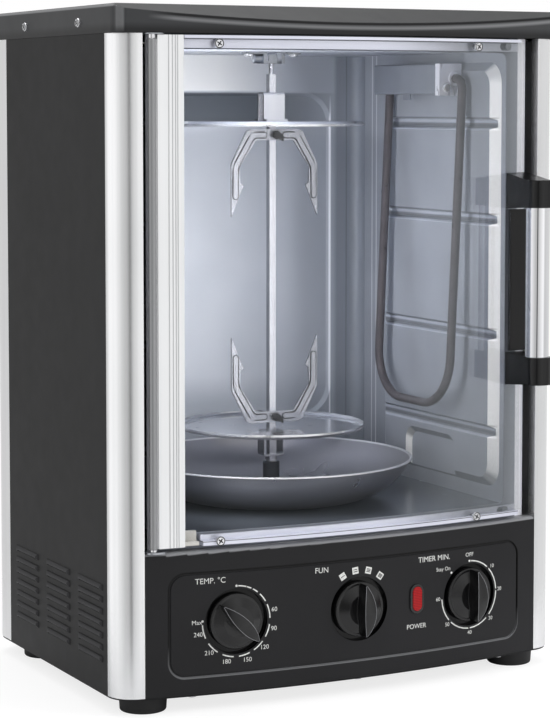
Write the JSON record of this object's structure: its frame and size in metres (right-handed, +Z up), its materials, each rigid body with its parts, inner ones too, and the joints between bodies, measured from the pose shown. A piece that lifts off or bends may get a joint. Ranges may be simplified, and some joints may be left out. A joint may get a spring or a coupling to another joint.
{
  "type": "vertical rotisserie oven",
  "caption": "Tall countertop oven with a motor-driven vertical spit with discs and forks, a bowed glass door with a bar handle, and a panel with knobs and a lamp.",
  "frame": {"origin": "middle of the whole outline, in the plane the feet stand on", "axes": "+X to the right as seen from the front, +Y from the door to the back, +Z up along the spit"},
  "size_m": [0.37, 0.2998, 0.5],
  "materials": {
    "black_plastic": "moulded, satin sheen",
    "black_paint": "fine satin black enamel",
    "satin_aluminium": "satin extrusion",
    "stile_aluminium": "grooved satin extrusion",
    "liner_steel": "aluminised sheet, semi matt",
    "frame_steel": "satin sheet",
    "mirror_glass": "tinted reflecting glass",
    "chrome": "polished",
    "spit_steel": "polished stainless sheet",
    "pan_steel": "polished, darkened by heat",
    "element_sheath": "oxidised tube",
    "element_housing": "plain sheet",
    "zinc_steel": "zinc plated",
    "rubber": "matt",
    "lamp_red": "clear red lens",
    "switch_plastic": "thermoset"
  },
  "bodies": {
    "housing": {"base_plate": "black_paint", "rubber_feet": "rubber", "case_screws": "zinc_steel", "side_panel_left": "black_paint", "side_panel_right": "black_paint", "back_panel": "black_paint", "cord_inlet": "black_plastic", "front_post_left": "satin_aluminium", "front_post_right": "satin_aluminium", "rear_post_left": "satin_aluminium", "rear_post_right": "satin_aluminium", "top_cap": "black_plastic", "control_panel": "black_plastic", "cavity_frame": "frame_steel", "liner_back": "liner_steel", "liner_left": "liner_steel", "liner_right": "liner_steel", "liner_ceiling": "liner_steel", "liner_floor": "liner_steel", "heating_element": "element_sheath", "element_box": "element_housing", "element_flange": "element_housing", "spit_hook": "element_housing", "gear_motor": "zinc_steel", "motor_bracket": "zinc_steel", "thermostat": "switch_plastic", "function_switch": "switch_plastic", "timer": "switch_plastic", "lamp_lens": "lamp_red", "lamp_body": "black_plastic", "hinge_pins": "chrome", "hinge_plates": "zinc_steel"},
    "door": {"door_glass": "mirror_glass", "hinge_stile": "stile_aluminium", "top_rail": "stile_aluminium", "bottom_rail": "stile_aluminium", "rail_screws": "zinc_steel", "door_catches": "zinc_steel", "stile_block": "black_plastic", "handle_bracket_top": "black_plastic", "handle_bracket_bottom": "black_plastic", "handle_tube": "chrome", "handle_back_plate": "black_plastic"},
    "temperature_control": {"temperature_knob": "black_plastic", "thermostat_shaft": "zinc_steel"},
    "function_control": {"function_knob": "black_plastic", "function_shaft": "zinc_steel"},
    "timer_control": {"timer_knob": "black_plastic", "timer_shaft": "zinc_steel"},
    "drive": {"drive_coupling": "spit_steel"},
    "spit": {"spit_rod": "spit_steel", "rotating_tray": "spit_steel", "upper_disc": "spit_steel", "upper_bracket": "spit_steel", "lower_bracket": "spit_steel"},
    "fork_upper": {"upper_fork": "spit_steel"},
    "fork_lower": {"lower_fork": "spit_steel"},
    "thumb_upper": {"upper_thumb_screw": "black_plastic"},
    "thumb_lower": {"lower_thumb_screw": "black_plastic"},
    "pan": {"drip_pan": "pan_steel"}
  },
  "joints": [
    {"name": "door_hinge", "type": "hinge", "parent": "housing", "child": "door", "pos_m": [-0.157, -0.1086, 0.3], "axis": [0, 0, -1], "range_deg": [0, 110]},
    {"name": "temperature_knob_turn", "type": "hinge", "parent": "housing", "child": "temperature_control", "pos_m": [-0.096, -0.1161, 0.0636], "axis": [0.104, 0.9946, 0], "range_deg": [-135, 135]},
    {"name": "function_knob_turn", "type": "hinge", "parent": "housing", "child": "function_control", "pos_m": [0.0015, -0.1211, 0.0636], "axis": [-0.0016, 1, 0], "range_deg": [-32, 38]},
    {"name": "timer_knob_turn", "type": "hinge", "parent": "housing", "child": "timer_control", "pos_m": [0.099, -0.11578, 0.0636], "axis": [-0.1072, 0.9942, 0], "range_deg": [-43, 267]},
    {"name": "drive_spin", "type": "hinge", "parent": "housing", "child": "drive", "pos_m": [0, 0.0164, 0.14], "axis": [0, 0, 1], "continuous": true},
    {"name": "spit_lift", "type": "slide", "parent": "drive", "child": "spit", "axis": [0, 0, 1], "range_m": [0, 0.006]},
    {"name": "upper_fork_slide", "type": "slide", "parent": "spit", "child": "fork_upper", "axis": [0, 0, -1], "range_m": [0, 0.045]},
    {"name": "lower_fork_slide", "type": "slide", "parent": "spit", "child": "fork_lower", "axis": [0, 0, 1], "range_m": [0, 0.045]},
    {"name": "upper_thumb_screw_turn", "type": "hinge", "parent": "fork_upper", "child": "thumb_upper", "pos_m": [0, 0.0084, 0.407], "axis": [0, -1, 0], "continuous": true},
    {"name": "lower_thumb_screw_turn", "type": "hinge", "parent": "fork_lower", "child": "thumb_lower", "pos_m": [0, 0.0084, 0.189], "axis": [0, -1, 0], "continuous": true},
    {"name": "drip_pan_lift", "type": "slide", "parent": "housing", "child": "pan", "axis": [0, 0, 1], "range_m": [0, 0.018]}
  ]
}
